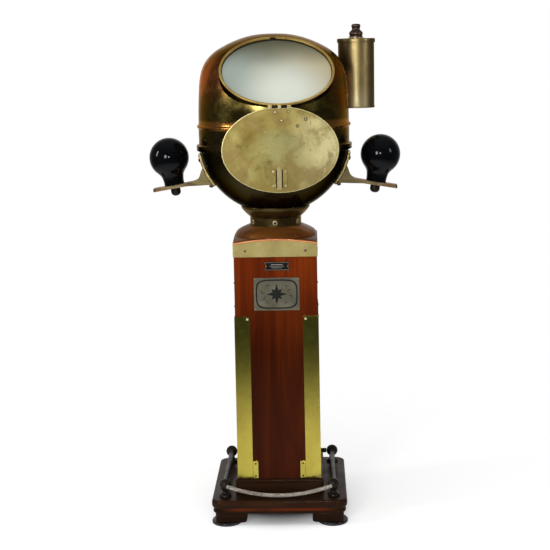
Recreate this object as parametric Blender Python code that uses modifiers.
"""Binnacle compass: wooden pedestal, brass casing with a gimballed compass, and a lift-off hood.

Metres, +Z up, front towards -Y. Sizes below are counted from the middle of the base, on the floor.
The finished assembly then moves by OUTLINE_SHIFT, which puts the origin under the middle of its outline.
"""

import math

import bmesh
import bpy
from mathutils import Matrix, Vector

GAP = 0.0003
OUTLINE_SHIFT = 0.00965

# Base
PAD_RADIUS, PAD_HEIGHT, PAD_X, PAD_Y = 0.040, 0.008, 0.141, 0.138
BLOCK_SIZE, BLOCK_CENTRE = 0.083, 0.1285
PLINTH_BOTTOM, PLINTH_TOP = 0.0330, 0.0717
STEP_HALF, STEP_TOP = 0.118, 0.1087
POST_X, POST_Y, BALL_Z, BALL_RADIUS = 0.144, 0.140, 0.1035, 0.016
RAIL_RADIUS, ROPE_RADIUS, ROPE_END_X, ROPE_SAG = 0.0065, 0.005, 0.1385, 0.0240

# Column
COLUMN_BOTTOM, COLUMN_TOP = 0.1090, 0.7447
HALF_LOW, HALF_HIGH, COLUMN_WALL = 0.1100, 0.1082, 0.016
ARCH_BOTTOM, ARCH_RISE = 0.7450, 0.0105
CAP_TOP, CAP_TOP_RADIUS = 0.7815, 0.072
BAND_BOTTOM, SHEET = 0.7093, 0.0012
PLATE_WIDTH, PLATE_BOTTOM, PLATE_TOP = 0.041, 0.1100, 0.5520
CLIP_WIDTH, CLIP_TOP = 0.014, 0.158
DOOR_HALF, DOOR_BOTTOM, DOOR_TOP, DOOR_THICK = 0.0655, 0.205, 0.515, 0.008

# Casing and arms
BOWL_RADIUS, BOWL_CENTRE_Z, BOWL_BOTTOM, BOWL_WALL = 0.1985, 1.0100, 0.8338, 0.0025
RIM_TOP, RIM_RADIUS = 0.9866, 0.2045
ARM_WIDTH, ARM_THICK, ARM_TIP_X, ARM_LEAN = 0.034, 0.009, 0.3225, math.radians(9.5)
SPHERE_BASE_X, SPHERE_BASE_Z, SPHERE_RADIUS, SPHERE_CENTRE = 0.2670, 0.8905, 0.0527, 0.0728
NECK_RADIUS, STUD_RADIUS = 0.0265, 0.0035
ARM_PAD_TOP, ARM_PAD_LOW, ARM_PAD_THICK = math.radians(-10.8), math.radians(-38.3), 0.0055

# Hood, turned a little about the vertical
HOOD_TURN = math.radians(5.9)
HOOD_BOTTOM, HOOD_TOP, HOOD_WALL = 0.9872, 1.2790, 0.0018
WINDOW_BOTTOM, WINDOW_TOP = Vector((0, -0.207, 1.103)), Vector((0, -0.081, 1.270))
WINDOW_HALF_X, WINDOW_HALF_UP = 0.1450, 0.1052
BEZEL_DEPTH, BEZEL_WIDTH, GLASS_THICK = 0.0037, 0.0060, 0.0030

# Cover, hanging open in front of the hood
HINGE_Y, HINGE_Z, KNUCKLE_RADIUS, PIN_RADIUS = -0.2099, 1.1002, 0.0025, 0.0012
COVER_HALF_X, COVER_HALF_Z, COVER_FRONT, COVER_THICK = 0.146, 0.106, -0.2100, 0.0030
COVER_CENTRE_Z = HINGE_Z - 0.1075
BOLT_X, BOLT_WIDTH, BOLT_LOW, BOLT_HIGH, BOLT_NECK_Z = -0.0042, 0.0116, 0.8955, 0.951, 0.9350
BUTTON_RADIUS, BUTTON_THICK = 0.0050, 0.0013
MOVING_KNUCKLES = ((-0.0285, -0.0195), (-0.0045, 0.0035), (0.0185, 0.0275))
FIXED_KNUCKLES = ((-0.0190, -0.0050), (0.0040, 0.0180))

# Lamp on the hood's side
LAMP_X, LAMP_Y, LAMP_RADIUS, LAMP_WALL = 0.2279, 0.0619, 0.0480, 0.0015
LAMP_BOTTOM, LAMP_TUBE_TOP, LAMP_CAP_TOP = 1.0810, 1.2600, 1.2632

# Compass
PIVOT_Z, GIMBAL_OUTER, GIMBAL_INNER, GIMBAL_PIN, PIN_PLAY = 0.985, 0.160, 0.152, 0.0035, 0.0002

ROUND = 32


def start_empty_scene():
    for obj in list(bpy.data.objects):
        bpy.data.objects.remove(obj)
    for name in ("binnacle_compass", "cutters"):
        bpy.context.scene.collection.children.link(bpy.data.collections.new(name))


def material(name, colour, roughness, metallic):
    found = bpy.data.materials.get(name)
    if found:
        return found
    made = bpy.data.materials.new(name)
    made.use_nodes = True
    shader = made.node_tree.nodes["Principled BSDF"]
    shader.inputs["Base Color"].default_value = (*colour, 1)
    shader.inputs["Roughness"].default_value = roughness
    shader.inputs["Metallic"].default_value = metallic
    return made


FINISHES = {
    "mahogany": ((0.26, 0.06, 0.02), 0.3, 0.0),
    "dark_wood": ((0.09, 0.035, 0.02), 0.3, 0.0),
    "brass": ((0.62, 0.48, 0.17), 0.35, 1.0),
    "bronze": ((0.22, 0.14, 0.06), 0.4, 1.0),
    "copper": ((0.35, 0.17, 0.07), 0.35, 1.0),
    "dark_metal": ((0.07, 0.06, 0.055), 0.5, 0.8),
    "pewter": ((0.32, 0.31, 0.25), 0.4, 1.0),
    "black_gloss": ((0.01, 0.01, 0.01), 0.1, 0.0),
    "rubber": ((0.03, 0.03, 0.03), 0.8, 0.0),
    "rope": ((0.55, 0.48, 0.40), 0.9, 0.0),
    "glass": ((0.85, 0.9, 0.88), 0.05, 0.0),
    "card_white": ((0.85, 0.83, 0.75), 0.6, 0.0),
}


def place(name, mesh, finish, at=(0, 0, 0), turn=None, parent=None):
    """Puts a mesh in the scene as one named part."""
    obj = bpy.data.objects.new(name, mesh)
    bpy.data.collections["binnacle_compass"].objects.link(obj)
    obj.data.materials.append(material(finish, *FINISHES[finish]))
    obj.location = at
    if turn:
        obj.rotation_euler = turn
    obj.parent = parent
    return obj


def as_cutter(obj):
    """Moves an object to the cutters, where it shapes its neighbours and isn't a part."""
    bpy.data.collections["binnacle_compass"].objects.unlink(obj)
    bpy.data.collections["cutters"].objects.link(obj)
    obj.hide_render = True
    obj.display_type = "WIRE"
    return obj


def boolean(obj, other, operation):
    modifier = obj.modifiers.new(other.name, "BOOLEAN")
    modifier.operation = operation
    modifier.object = as_cutter(other)
    return obj


def cut(obj, *others):
    for other in others:
        boolean(obj, other, "DIFFERENCE")
    return obj


def join(obj, *others):
    for other in others:
        boolean(obj, other, "UNION")
    return obj


def mesh_from(bm, name):
    bmesh.ops.recalc_face_normals(bm, faces=bm.faces)
    mesh = bpy.data.meshes.new(name)
    bm.to_mesh(mesh)
    bm.free()
    return mesh


def box(name, low, high, finish, parent=None):
    """A box between two corners, with its origin in its middle."""
    low, high = Vector(low), Vector(high)
    bm = bmesh.new()
    bmesh.ops.create_cube(bm, size=1, matrix=Matrix.Diagonal((*(high - low), 1)))
    return place(name, mesh_from(bm, name), finish, (low + high) / 2, parent=parent)


def rod(name, start, end, radius, finish, sides=12, parent=None):
    """A cylinder from start to end."""
    start, end = Vector(start), Vector(end)
    along = end - start
    bm = bmesh.new()
    bmesh.ops.create_cone(
        bm, cap_ends=True, segments=sides, radius1=radius, radius2=radius, depth=along.length
    )
    turn = along.to_track_quat("Z", "Y").to_euler()
    return place(name, mesh_from(bm, name), finish, (start + end) / 2, turn, parent)


def turned(name, profile, finish, at=(0, 0, 0), turn=None, parent=None, steps=ROUND, ring=False):
    """A profile of (radius, height) points spun about Z. A ring's profile closes on itself."""
    bm = bmesh.new()
    points = [bm.verts.new((radius, 0, height)) for radius, height in profile]
    for first, second in zip(points, points[1:] + points[:1] if ring else points[1:]):
        bm.edges.new((first, second))
    mesh = bpy.data.meshes.new(name)
    bm.to_mesh(mesh)
    bm.free()
    obj = place(name, mesh, finish, at, turn, parent)
    spin = obj.modifiers.new("spin", "SCREW")
    spin.steps = spin.render_steps = steps
    spin.use_merge_vertices = True
    spin.merge_threshold = 0.00001
    return obj


def loft(name, loops, finish, at=(0, 0, 0), turn=None, parent=None, ring=False):
    """Skins a stack of loops with the same number of points. Its ends are capped unless it is a ring."""
    bm = bmesh.new()
    rows = [[bm.verts.new(point) for point in loop] for loop in loops]
    pairs = list(zip(rows, rows[1:])) + ([(rows[-1], rows[0])] if ring else [])
    for low, high in pairs:
        count = len(low)
        for i in range(count):
            j = (i + 1) % count
            bm.faces.new((low[i], low[j], high[j], high[i]))
    if not ring:
        bm.faces.new(rows[0])
        bm.faces.new(rows[-1])
    return place(name, mesh_from(bm, name), finish, at, turn, parent)


def prism(name, outline, low, high, axis, finish, at=(0, 0, 0), turn=None, parent=None):
    """A flat outline carried along the X or Y axis from low to high."""
    if axis == "X":
        loops = [[(end, a, b) for a, b in outline] for end in (low, high)]
    else:
        loops = [[(a, end, b) for a, b in outline] for end in (low, high)]
    return loft(name, loops, finish, at, turn, parent)


def arc(centre, radius, start, end, count):
    """Points on a circular arc, with angles in radians."""
    angles = [start + (end - start) * i / (count - 1) for i in range(count)]
    return [(centre[0] + radius * math.cos(a), centre[1] + radius * math.sin(a)) for a in angles]


def rounded_square(half, radius, z, corner_points=3):
    loop = []
    for quarter, (sx, sy) in enumerate(((1, 1), (-1, 1), (-1, -1), (1, -1))):
        centre = (sx * (half - radius), sy * (half - radius))
        start = quarter * math.pi / 2
        loop += [(x, y, z) for x, y in arc(centre, radius, start, start + math.pi / 2, corner_points)]
    return loop


def ellipse(half_x, half_up, out, count=32):
    """A loop in the XY plane at height out."""
    angles = [2 * math.pi * i / count for i in range(count)]
    return [(half_x * math.cos(a), half_up * math.sin(a), out) for a in angles]


def upright(loop):
    """Stands a loop from the XY plane up in the XZ plane."""
    return [(x, out, up) for x, up, out in loop]


def column_half(z):
    share = (z - COLUMN_BOTTOM) / (COLUMN_TOP - COLUMN_BOTTOM)
    return HALF_LOW + (HALF_HIGH - HALF_LOW) * share


def make_feet():
    pad = [
        (0, PAD_HEIGHT),
        (PAD_RADIUS - 0.003, PAD_HEIGHT),
        (PAD_RADIUS, PAD_HEIGHT - 0.003),
        (PAD_RADIUS, 0.0015),
        (PAD_RADIUS - 0.0015, 0),
        (0, 0),
    ]
    for name, sx, sy in (("fl", -1, -1), ("fr", 1, -1), ("bl", -1, 1), ("br", 1, 1)):
        turned("foot_pad_" + name, pad, "rubber", (sx * PAD_X, sy * PAD_Y, 0), steps=20)
        half = BLOCK_SIZE / 2
        z_low, z_high = PAD_HEIGHT + GAP, PLINTH_BOTTOM - GAP
        loops = [rounded_square(half, 0.012, z) for z in (z_low, z_high)]
        loft("foot_block_" + name, loops, "dark_wood", (sx * BLOCK_CENTRE, sy * BLOCK_CENTRE, 0))


def make_base():
    moulding = (
        (0.1700, PLINTH_BOTTOM),
        (0.1735, 0.0342),
        (0.1758, 0.0400),
        (0.1745, 0.0465),
        (0.1768, 0.0505),
        (0.1788, 0.0560),
        (0.1790, 0.0625),
        (0.1783, 0.0675),
        (0.1765, 0.0705),
        (0.1745, PLINTH_TOP),
    )
    loft("base_plinth", [rounded_square(half, 0.022, z, 4) for half, z in moulding], "dark_wood")
    tier = (
        (STEP_HALF, PLINTH_TOP + GAP),
        (STEP_HALF, 0.1035),
        (STEP_HALF - 0.0015, 0.1070),
        (STEP_HALF - 0.0040, STEP_TOP),
    )
    loft("column_step", [rounded_square(half, 0.008, z) for half, z in tier], "dark_wood")


def make_rails():
    ball = [(r, BALL_Z + h) for r, h in arc((0, 0), BALL_RADIUS, math.pi / 2, -1.05, 6)]
    post = ball + [(0.0078, 0.0865), (0.0090, 0.0822), (0.0140, 0.0792), (0.0160, 0.0762)]
    post += [(0.0162, PLINTH_TOP + GAP), (0, PLINTH_TOP + GAP)]
    post[0] = (0, BALL_Z + BALL_RADIUS)
    for name, sx, sy in (("fl", -1, -1), ("fr", 1, -1), ("bl", -1, 1), ("br", 1, 1)):
        turned("rail_post_" + name, post, "dark_metal", (sx * POST_X, sy * POST_Y, 0), steps=10)
    reach = BALL_RADIUS + GAP
    for name, sx in (("left", -1), ("right", 1)):
        start = (sx * POST_X, -POST_Y + reach, BALL_Z)
        end = (sx * POST_X, POST_Y - reach, BALL_Z)
        rod("rail_" + name, start, end, RAIL_RADIUS, "dark_metal")
    start = (-POST_X + reach, POST_Y, BALL_Z)
    rod("rail_rear", start, (POST_X - reach, POST_Y, BALL_Z), RAIL_RADIUS, "dark_metal")
    make_rope()


def make_rope():
    """A rope end in front of each front ball, hanging in a shallow curve between them."""
    curve = bpy.data.curves.new("foot_rope", "CURVE")
    curve.dimensions = "3D"
    curve.bevel_depth = ROPE_RADIUS
    curve.bevel_resolution = 1
    curve.use_fill_caps = True
    spline = curve.splines.new("POLY")
    count = 13
    spline.points.add(count - 1)
    for i, point in enumerate(spline.points):
        share = 2 * i / (count - 1) - 1
        height = BALL_Z + 0.003 - ROPE_SAG * (1 - share * share)
        front = -POST_Y - BALL_RADIUS - ROPE_RADIUS - 0.0012 - 0.003 * (1 - share * share)
        point.co = (share * ROPE_END_X, front, height, 1)
    obj = bpy.data.objects.new("foot_rope", curve)
    bpy.data.collections["binnacle_compass"].objects.link(obj)
    curve.materials.append(material("rope", *FINISHES["rope"]))


def make_column():
    loops = [rounded_square(column_half(z), 0.004, z, 3) for z in (COLUMN_BOTTOM, COLUMN_TOP)]
    column = loft("column", loops, "mahogany")
    hollow = HALF_HIGH - COLUMN_WALL
    room = box("column_room", (-hollow, -hollow, 0.05), (hollow, hollow, 0.80), "mahogany")
    low, high = (-0.055, 0.05, DOOR_BOTTOM + 0.010), (0.055, 0.15, DOOR_TOP - 0.010)
    cut(column, room, box("door_way", low, high, "mahogany"))
    make_cap()
    make_band()


def make_cap():
    """A square block whose top is rounded off into a dome, with a round seat for the collar."""
    half = HALF_HIGH
    loops = [rounded_square(half, 0.004, ARCH_BOTTOM, 5)]
    for share in (0.25, 0.5, 0.75, 0.93):
        flat = (half - 0.004) * math.sqrt(1 - share)
        loops.append(rounded_square(half, half - flat, ARCH_BOTTOM + ARCH_RISE * share, 5))
    for radius, z in ((0.1035, 0.7652), (0.0940, 0.7715), (0.0820, 0.7772), (CAP_TOP_RADIUS, CAP_TOP)):
        loops.append(rounded_square(radius, radius - 0.0005, z, 5))
    cap = loft("column_cap", loops, "mahogany")
    cut(cap, rod("cap_bore", (0, 0, 0.70), (0, 0, 0.80), 0.045, "mahogany", 24))


def make_band():
    """A brass band round the column's head, with an arched top edge on each side."""
    inner = column_half(BAND_BOTTOM) + GAP
    outer = inner + SHEET
    columns = []
    steps = 10
    for quarter in range(4):
        turn = Matrix.Rotation(quarter * math.pi / 2, 3, "Z")
        for i in range(steps):
            across = 2 * i / steps - 1
            top = ARCH_BOTTOM + ARCH_RISE * (1 - across * across)
            corners = ((outer, BAND_BOTTOM), (outer, top), (inner, top), (inner, BAND_BOTTOM))
            columns.append([turn @ Vector((side * across, -side, z)) for side, z in corners])
    loft("cap_band", columns, "brass", ring=True)


def make_corner_plates():
    for name, sx, sy in (("fl", -1, -1), ("fr", 1, -1), ("bl", -1, 1), ("br", 1, 1)):
        loops = []
        for z in (PLATE_BOTTOM, PLATE_TOP):
            inner = column_half(z) + GAP
            outer = inner + SHEET
            edge = outer - PLATE_WIDTH
            section = ((outer, outer), (edge, outer), (edge, inner))
            section += ((inner, inner), (inner, edge), (outer, edge))
            loops.append([(sx * x, sy * y, z) for x, y in section])
        loft("corner_plate_" + name, loops, "brass")
    back = -column_half(PLATE_BOTTOM) - GAP
    edge = column_half(PLATE_BOTTOM) + GAP + SHEET - PLATE_WIDTH - GAP
    for name, side in (("left", -1), ("right", 1)):
        low_x, high_x = sorted((side * edge, side * (edge - CLIP_WIDTH)))
        low, high = (low_x, back - SHEET, PLATE_BOTTOM), (high_x, back, CLIP_TOP)
        box("corner_clip_" + name, low, high, "brass")


def make_nameplates():
    for name, x_low, x_high, z_low, z_high, finish in (
        ("large_plate", -0.0574, 0.0615, 0.5680, 0.6547, "pewter"),
        ("small_plate", -0.0266, 0.0339, 0.6740, 0.6960, "dark_metal"),
    ):
        back = -column_half(z_low) - GAP
        corner = 0.006 if name == "large_plate" else 0.003
        outline = []
        right, left, top, bottom = x_high - corner, x_low + corner, z_high - corner, z_low + corner
        for quarter, centre in enumerate(((right, top), (left, top), (left, bottom), (right, bottom))):
            start = quarter * math.pi / 2
            outline += arc(centre, corner, start, start + math.pi / 2, 4)
        prism(name, outline, back - 0.0015, back, "Y", finish)


def make_door():
    inner = column_half(DOOR_BOTTOM) + GAP
    hinge = bpy.data.objects.new("door_hinge_axis", None)
    bpy.data.collections["binnacle_compass"].objects.link(hinge)
    hinge.location = (-DOOR_HALF, inner + DOOR_THICK, 0)
    low = (0, -DOOR_THICK, DOOR_BOTTOM)
    box("magnet_door", low, (2 * DOOR_HALF, 0, DOOR_TOP), "mahogany", hinge)
    knob = [(0, 0.0160), (0.0070, 0.0150), (0.0095, 0.0115), (0.0080, 0.0080), (0.0045, 0.0055)]
    knob += [(0.0045, 0.0025), (0.0080, 0.0015), (0.0080, GAP), (0, GAP)]
    at = (2 * DOOR_HALF - 0.018, 0, (DOOR_BOTTOM + DOOR_TOP) / 2)
    turned("door_knob", knob, "brass", at, (-math.pi / 2, 0, 0), hinge, steps=16)


def make_correctors():
    """The magnets under the compass: a drilled wooden rack, and a hanging tube for the heeling magnet."""
    wall = HALF_HIGH - COLUMN_WALL - GAP
    rack = box("magnet_rack", (-wall, -0.030, 0.260), (wall, 0.030, 0.440), "dark_wood")
    for row in range(5):
        z = 0.280 + 0.035 * row
        cut(rack, rod(f"rack_bore_{row}", (-0.2, 0, z), (0.2, 0, z), 0.006, "dark_wood", 8))
    tube = [(0, 0.5440), (0.0205, 0.5440), (0.0205, 0.6800)]
    tube += [(0.0230, 0.6800), (0.0230, 0.5400), (0, 0.5400)]
    turned("heeling_bucket", tube, "brass", steps=20)


def make_neck():
    outer = [(0.0680, 0.8035), (0.0680, CAP_TOP + GAP)]
    flare = [(0.0895, 0.8335), (0.0913, 0.8318), (0.0905, 0.8275), (0.0872, 0.8225)]
    flare += [(0.0820, 0.8165), (0.0755, 0.8100), (0.0700, 0.8055)]
    inner = [(0.0560, CAP_TOP + GAP), (0.0560, 0.8060), (0.0760, 0.8260), (0.0780, 0.8335)]
    turned("neck_collar", flare + outer + inner, "bronze", steps=24, ring=True)


def make_casing():
    bottom_angle = math.asin((BOWL_BOTTOM - BOWL_CENTRE_Z) / BOWL_RADIUS)
    inner_radius = BOWL_RADIUS - BOWL_WALL
    floor = BOWL_BOTTOM + BOWL_WALL
    inner_angle = math.asin((floor - BOWL_CENTRE_Z) / inner_radius)
    profile = [(0.1948, 0.9990), (0.1948, RIM_TOP), (RIM_RADIUS, RIM_TOP), (RIM_RADIUS, 0.9815)]
    profile += [(0.2012, 0.9785), (0.1962, 0.9772)]
    profile += arc((0, BOWL_CENTRE_Z), BOWL_RADIUS, math.radians(-9.9), bottom_angle, 8)
    profile += [(0.030, BOWL_BOTTOM), (0.030, floor)]
    profile += arc((0, BOWL_CENTRE_Z), inner_radius, inner_angle, math.radians(-8), 7)
    profile += [(0.1930, 0.9990)]
    turned("bowl_casing", profile, "bronze", ring=True)


def arm_outline():
    slope = math.tan(ARM_LEAN)

    def top(x):
        return SPHERE_BASE_Z - GAP - slope * (x - SPHERE_BASE_X)

    drop = ARM_THICK / math.cos(ARM_LEAN)
    centre = (0, BOWL_CENTRE_Z)
    outline = arc(centre, BOWL_RADIUS + GAP, ARM_PAD_TOP, ARM_PAD_LOW, 7)
    outline += [
        (0.1610, 0.8850),
        (0.1665, 0.8878),
        (0.1760, 0.8890),
        (0.1950, 0.8882),
        (0.2330, top(0.2330) - drop),
        (ARM_TIP_X - 0.003, top(ARM_TIP_X - 0.003) - drop),
        (ARM_TIP_X, top(ARM_TIP_X) - drop + 0.003),
        (ARM_TIP_X, top(ARM_TIP_X)),
        (0.2200, top(0.2200)),
        (0.2110, 0.9008),
        (0.2045, 0.9045),
        (0.1995, 0.9110),
        (0.1965, 0.9190),
        (0.1945, 0.9260),
    ]
    outline += arc(centre, BOWL_RADIUS + ARM_PAD_THICK, math.radians(-21.6), ARM_PAD_TOP, 4)
    return outline


def sphere_profile():
    join_angle = math.radians(-46)
    ball = arc((0, SPHERE_CENTRE), SPHERE_RADIUS, math.pi / 2, join_angle, 10)
    ball[0] = (0, SPHERE_CENTRE + SPHERE_RADIUS)
    neck = [(0.0298, 0.0258), (0.0275, 0.0165), (NECK_RADIUS, 0.0080), (NECK_RADIUS, 0), (STUD_RADIUS, 0)]
    return ball + neck + [(STUD_RADIUS, -0.0177), (0, -0.0177)]


def make_arms_and_spheres():
    nut = [(0, -0.0180), (STUD_RADIUS + GAP, -0.0180), (STUD_RADIUS + GAP, -0.0096)]
    nut += [(0.0130, -0.0096), (0.0130, -0.0205), (0.0105, -0.0265), (0.0060, -0.0293), (0, -0.0300)]
    for name, side in (("left", -1), ("right", 1)):
        outline = [(side * x, z) for x, z in arm_outline()]
        arm = prism("arm_" + name, outline, -ARM_WIDTH / 2, ARM_WIDTH / 2, "Y", "bronze")
        lean = (0, side * ARM_LEAN, 0)
        base = (side * SPHERE_BASE_X, 0, SPHERE_BASE_Z)
        slot = box("slot_" + name, (-0.016, -0.0042, -0.05), (0.026, 0.0042, 0.02), "bronze")
        if side < 0:
            slot.location.x = -slot.location.x
        slot.location = Matrix.Rotation(side * ARM_LEAN, 3, "Y") @ slot.location + Vector(base)
        slot.rotation_euler = lean
        cut(arm, slot)
        turned("sphere_" + name, sphere_profile(), "black_gloss", base, lean, steps=16)
        turned("sphere_nut_" + name, nut, "dark_metal", base, lean, steps=10)


def hood_outer():
    """The hood's outside from its crown down to its bottom ring."""
    crown = [(0, HOOD_TOP), (0.040, 1.2772), (0.075, 1.2700), (0.1035, 1.2600), (0.1300, 1.2475)]
    shoulder = [(0.1500, 1.2355), (0.1680, 1.2190), (0.1800, 1.2020), (0.1872, 1.1840)]
    wall = [(0.1915, 1.1640), (0.1945, 1.1300), (0.1968, 1.0850), (0.1975, 1.0510)]
    bead = [(0.2012, 1.0475), (0.2020, 1.0440), (0.2012, 1.0405), (0.1978, 1.0370)]
    return crown + shoulder + wall + bead + [(0.1978, 0.9985), (0.2050, 0.9950)]


def shifted(profile, distance):
    """A profile moved outwards along its own normals, or inwards if distance is negative."""
    points = [Vector(point) for point in profile]
    moved = []
    for i, point in enumerate(points):
        along = points[min(i + 1, len(points) - 1)] - points[max(i - 1, 0)]
        normal = Vector((-along.y, along.x)).normalized()
        moved.append(point + normal * distance)
    moved[0].x = 0
    return [(point.x, point.y) for point in moved]


def window_frame_of():
    """The window's place in the hood: its middle, and the turn from flat to the window's tilt."""
    up = (WINDOW_TOP - WINDOW_BOTTOM).normalized()
    tilt = math.atan2(up.z, up.y)
    return WINDOW_BOTTOM + up * WINDOW_HALF_UP, (tilt, 0, 0)


def make_hood(hood):
    smooth = [point for point in hood_outer() if not 1.036 < point[1] < 1.049][:-2]
    inner = shifted(smooth, -HOOD_WALL)
    inner = inner[:-1] + [(0.1960, 1.0400), (0.1960, HOOD_BOTTOM)]
    outer = hood_outer() + [(0.2050, HOOD_BOTTOM)]
    shell = turned("hood_shell", outer + inner[::-1], "copper", parent=hood, steps=ROUND)
    centre, tilt = window_frame_of()
    play = 0.0004
    loops = [ellipse(0.1433 + play, 0.1033 + play, out) for out in (-0.045, 0.080)]
    hole = loft("window_hole", loops, "copper", centre, tilt, hood)
    loops = [ellipse(WINDOW_HALF_X + play, WINDOW_HALF_UP + play, out) for out in (-0.0043, 0.081)]
    room = loft("bezel_room", loops, "copper", centre, tilt, hood)
    angle = math.atan2(LAMP_Y, LAMP_X)
    port = box("lamp_port", (-0.03, -0.015, 1.110), (0.03, 0.015, 1.165), "copper", hood)
    port.location = (0.19 * math.cos(angle), 0.19 * math.sin(angle), port.location.z)
    port.rotation_euler = (0, 0, angle)
    cut(shell, hole, room, port)
    make_window(hood, centre, tilt)
    make_lamp(hood)


def make_window(hood, centre, tilt):
    wall_outer, wall_inner, ledge = (0.1433, 0.1033), (0.1409, 0.1009), (0.1350, 0.0950)
    top, glass_top = -BEZEL_DEPTH - GAP, -0.0070
    glass_bottom = glass_top - GLASS_THICK
    seat = glass_bottom - GAP
    rings = ((wall_outer, top), (wall_outer, -0.034), (wall_inner, -0.034), (wall_inner, seat - 0.002))
    rings += ((ledge, seat - 0.002), (ledge, seat), (wall_inner, seat), (wall_inner, top))
    loops = [ellipse(*half, out) for half, out in rings]
    loft("window_frame", loops, "bronze", centre, tilt, hood, ring=True)
    half_x, half_up = WINDOW_HALF_X, WINDOW_HALF_UP
    width = BEZEL_WIDTH
    rings = ((half_x - 0.0012, half_up - 0.0012, 0), (half_x, half_up, -0.0012))
    rings += ((half_x, half_up, -BEZEL_DEPTH), (half_x - width, half_up - width, -BEZEL_DEPTH))
    rings += ((half_x - width, half_up - width, -0.0008),)
    bezel = loft("window_bezel", [ellipse(*r) for r in rings], "brass", centre, tilt, hood, ring=True)
    keeper = box("keeper_notch", (-0.0115, 0.0960, -0.05), (0.0032, 0.1030, 0.05), "brass", hood)
    keeper.rotation_euler = tilt
    keeper.location = Vector(centre) + Matrix.Rotation(tilt[0], 3, "X") @ keeper.location
    cut(bezel, keeper)
    loops = [ellipse(0.1405, 0.1005, out) for out in (glass_bottom, glass_top)]
    loft("window_glass", loops, "glass", centre, tilt, hood)


def make_lamp(hood):
    at = (LAMP_X, LAMP_Y, 0)
    inside = LAMP_RADIUS - LAMP_WALL
    floor = LAMP_BOTTOM + LAMP_WALL
    tube = [(0, floor), (inside, floor), (inside, LAMP_TUBE_TOP), (LAMP_RADIUS, LAMP_TUBE_TOP)]
    tube += [(LAMP_RADIUS, LAMP_BOTTOM), (0, LAMP_BOTTOM)]
    lamp = turned("lamp_tube", tube, "brass", at, parent=hood, steps=24)
    clear = shifted(hood_outer(), 0.0006)[:13] + [(0.1981, 1.02), (0, 1.02)]
    cut(lamp, turned("lamp_seat", clear, "brass", parent=hood))
    skirt = LAMP_RADIUS + 0.0004
    under = LAMP_CAP_TOP - 0.0018
    cap = [(0, LAMP_CAP_TOP), (0.0490, LAMP_CAP_TOP), (0.0506, LAMP_CAP_TOP - 0.0012)]
    cap += [(0.0506, 1.2525), (skirt, 1.2525), (skirt, under), (0, under)]
    turned("lamp_cap", cap, "brass", at, parent=hood, steps=24)
    low = LAMP_CAP_TOP + GAP
    knob = [(0, 1.3015), (0.0095, 1.3008), (0.0122, 1.2965), (0.0108, 1.2905), (0.0107, 1.2865)]
    knob += [(0.0150, 1.2822), (0.0183, 1.2765), (0.0165, 1.2705), (0.0180, 1.2690)]
    knob += [(0.0180, low), (0, low)]
    turned("lamp_knob", knob, "dark_metal", at, parent=hood, steps=14)
    bulb = [(r, 1.1420 + h) for r, h in arc((0, 0), 0.0150, math.pi / 2, -1.0, 7)]
    bulb[0] = (0, 1.1570)
    bulb += [(0.0075, 1.1230), (0.0120, 1.1210), (0.0120, floor + 0.004), (0.0200, floor + 0.004)]
    bulb += [(0.0200, floor + GAP), (0, floor + GAP)]
    turned("lamp_burner", bulb, "glass", at, parent=hood, steps=10)


def make_cover(hood):
    """The oval cover with its hinge. The hinge pin lies along the hood's X axis."""
    back = COVER_FRONT + COVER_THICK
    rings = ((0.0009, COVER_FRONT), (0, COVER_FRONT + 0.0009), (0, back - 0.0009), (0.0009, back))
    loops = [upright(ellipse(COVER_HALF_X - e, COVER_HALF_Z - e, y)) for e, y in rings]
    at = (0, 0, COVER_CENTRE_Z)
    plate = loft("cover_plate", loops, "brass", at, parent=hood)
    notch = box("knuckle_notch", (-0.0295, -0.25, 1.0940), (0.0285, -0.18, 1.12), "brass", hood)
    low, high = (BOLT_X - 0.0022, -0.25, 0.9270), (BOLT_X + 0.0022, -0.18, 0.9460)
    cut(plate, notch, box("plate_slot", low, high, "brass", hood))
    make_cover_hinge(hood, back)
    make_bolt(hood, low, high)


def knuckle(name, ends, hood):
    start, end = (ends[0], HINGE_Y, HINGE_Z), (ends[1], HINGE_Y, HINGE_Z)
    return rod(name, start, end, KNUCKLE_RADIUS, "brass", 10, hood)


def pin_hole(name, hood):
    start, end = (-0.04, HINGE_Y, HINGE_Z), (0.04, HINGE_Y, HINGE_Z)
    return rod(name, start, end, PIN_RADIUS + PIN_PLAY, "brass", 10, hood)


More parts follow.
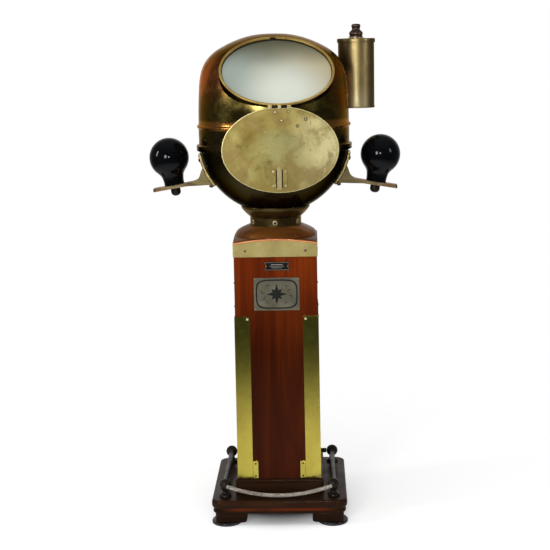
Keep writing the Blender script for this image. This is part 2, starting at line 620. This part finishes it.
def make_cover_hinge(hood, back):
    front = back + GAP
    strap = [(-0.0285, 1.0950), (-0.0285, 1.0800), (-0.006, 1.0580), (0.014, 1.0580)]
    strap += [(0.0275, 1.0800), (0.0275, 1.0950)]
    leaf = prism("cover_leaf", strap, front, front + SHEET, "Y", "brass", parent=hood)
    for i, ends in enumerate(MOVING_KNUCKLES):
        low = (ends[0], HINGE_Y + 0.0004, 1.0945)
        high = (ends[1], front + SHEET, HINGE_Z - 0.0012)
        web = box(f"leaf_web_{i}", low, high, "brass", hood)
        join(leaf, web, knuckle(f"leaf_knuckle_{i}", ends, hood))
    cut(leaf, pin_hole("leaf_pin_hole", hood))
    side = [(-0.2085, 1.0993), (-0.2042, 1.0998), (-0.1972, 1.0945), (-0.1972, 1.0760)]
    side += [(-0.1987, 1.0760), (-0.1987, 1.0925), (-0.2045, 1.0973), (-0.2085, 1.0973)]
    bracket = prism("hinge_bracket", side, -0.0285, 0.0275, "X", "brass", parent=hood)
    for i, ends in enumerate(MOVING_KNUCKLES):
        low, high = (ends[0] - 0.0005, -0.2130, 1.0900), (ends[1] + 0.0005, -0.1993, 1.1040)
        cut(bracket, box(f"bracket_gap_{i}", low, high, "brass", hood))
    for i, ends in enumerate(FIXED_KNUCKLES):
        join(bracket, knuckle(f"bracket_knuckle_{i}", ends, hood))
    cut(bracket, pin_hole("bracket_pin_hole", hood))
    start, end = (-0.0300, HINGE_Y, HINGE_Z), (0.0290, HINGE_Y, HINGE_Z)
    rod("hinge_pin", start, end, PIN_RADIUS, "brass", 10, hood)


def make_bolt(hood, slot_low, slot_high):
    """The sliding bolt on the cover's inner face, in its channel, with a flat button on the outer face."""
    face = COVER_FRONT - GAP
    floor, lip = face - 0.0007, face - 0.0034
    inner_low, inner_high = BOLT_X - BOLT_WIDTH / 2 - 0.0020, BOLT_X + BOLT_WIDTH / 2 + 0.0020
    outline = [(-0.0230, face), (-0.0230, lip), (inner_low, lip), (inner_low, floor)]
    outline += [(inner_high, floor), (inner_high, lip), (0.0153, lip), (0.0153, face)]
    loops = [[(x, y, z) for x, y in outline] for z in (0.900, 0.944)]
    guide = loft("bolt_guide", loops, "brass", parent=hood)
    cut(guide, box("guide_slot", slot_low, slot_high, "brass", hood))
    low = (BOLT_X - BOLT_WIDTH / 2, floor - GAP - 0.0030, BOLT_LOW)
    high = (BOLT_X + BOLT_WIDTH / 2, floor - GAP, BOLT_HIGH)
    bolt = box("cover_bolt", low, high, "brass", hood)
    neck_end = COVER_FRONT + COVER_THICK + 0.0008
    low = (BOLT_X - 0.0016, floor - 0.0015, BOLT_NECK_Z - 0.0020)
    high = (BOLT_X + 0.0016, neck_end + 0.0010, BOLT_NECK_Z + 0.0020)
    neck = box("bolt_neck", low, high, "brass", hood)
    start = (BOLT_X, neck_end, BOLT_NECK_Z)
    end = (BOLT_X, neck_end + BUTTON_THICK, BOLT_NECK_Z)
    join(bolt, neck, rod("bolt_button", start, end, BUTTON_RADIUS, "brass", 12, hood))


def make_gimbals():
    """Seat ring in the casing, gimbal ring on side pins, compass on fore-and-aft pins."""
    seat = [(0.1900, 0.9790), (0.1900, 0.9745), (0.1720, 0.9745), (0.1720, 0.9790)]
    ring = turned("gimbal_seat", seat, "bronze", steps=24, ring=True)
    for name, side in (("left", -1), ("right", 1)):
        low_x, high_x = sorted((side * 0.1745, side * 0.1825))
        low, high = (low_x, -0.008, 0.9765), (high_x, 0.008, PIVOT_Z + 0.008)
        join(ring, box("seat_lug_" + name, low, high, "bronze"))
    start, end = (-0.21, 0, PIVOT_Z), (0.21, 0, PIVOT_Z)
    cut(ring, rod("seat_bore", start, end, GIMBAL_PIN + PIN_PLAY, "bronze", 12))
    half = 0.004
    low, high = PIVOT_Z - half, PIVOT_Z + half
    section = [(GIMBAL_OUTER, high), (GIMBAL_OUTER, low), (GIMBAL_INNER, low), (GIMBAL_INNER, high)]
    gimbal = turned("gimbal_ring", section, "brass", steps=24, ring=True)
    for name, side in (("left", -1), ("right", 1)):
        start, end = (side * (GIMBAL_OUTER - 0.003), 0, PIVOT_Z), (side * 0.1835, 0, PIVOT_Z)
        join(gimbal, rod("gimbal_pin_" + name, start, end, GIMBAL_PIN, "brass", 12))
    start, end = (0, -0.2, PIVOT_Z), (0, 0.2, PIVOT_Z)
    cut(gimbal, rod("gimbal_bore", start, end, GIMBAL_PIN + PIN_PLAY, "brass", 12))


def make_compass():
    inner = [(0, 0.9700), (0.0035, 0.9680), (0.0040, 0.9090), (0.0920, 0.9090), (0.1120, 0.9310)]
    inner += [(0.1215, 0.9780), (0.1215, 0.9897), (0.1275, 0.9897), (0.1275, 0.9980)]
    outer = [(0.1350, 0.9980), (0.1350, 0.9770), (0.1180, 0.9290), (0.0950, 0.9050), (0, 0.9050)]
    bowl = turned("compass_bowl", inner + outer, "bronze", steps=24)
    for name, side in (("front", -1), ("back", 1)):
        start, end = (0, side * 0.1320, PIVOT_Z), (0, side * 0.1595, PIVOT_Z)
        join(bowl, rod("bowl_pin_" + name, start, end, GIMBAL_PIN, "bronze", 12))
    glass = [(0, 0.9930), (0.1270, 0.9930), (0.1270, 0.9900), (0, 0.9900)]
    turned("compass_glass", glass, "glass", steps=24)
    card = [(0, 0.9790), (0.0090, 0.9775), (0.0110, 0.9735), (0.1140, 0.9735), (0.1140, 0.9723)]
    card += [(0.0080, 0.9723), (0.0060, 0.9745), (0, 0.9755)]
    turned("compass_card", card, "card_white", steps=24)


def smooth_round_parts():
    flat = ("column", "magnet", "corner", "large", "small", "foot_block")
    for obj in bpy.data.collections["binnacle_compass"].objects:
        if obj.type == "MESH" and not obj.name.startswith(flat):
            obj.data.shade_smooth()
            obj.data.set_sharp_from_angle(angle=math.radians(40))


def centre_outline():
    """The hood's cover reaches further forward than the casing reaches back."""
    for obj in bpy.data.objects:
        if obj.parent is None:
            obj.location.y += OUTLINE_SHIFT


def build():
    start_empty_scene()
    make_feet()
    make_base()
    make_rails()
    make_column()
    make_corner_plates()
    make_nameplates()
    make_door()
    make_correctors()
    make_neck()
    make_casing()
    make_arms_and_spheres()
    hood = bpy.data.objects.new("hood_frame", None)
    bpy.data.collections["binnacle_compass"].objects.link(hood)
    hood.rotation_euler = (0, 0, HOOD_TURN)
    make_hood(hood)
    make_cover(hood)
    make_gimbals()
    make_compass()
    smooth_round_parts()
    centre_outline()


build()
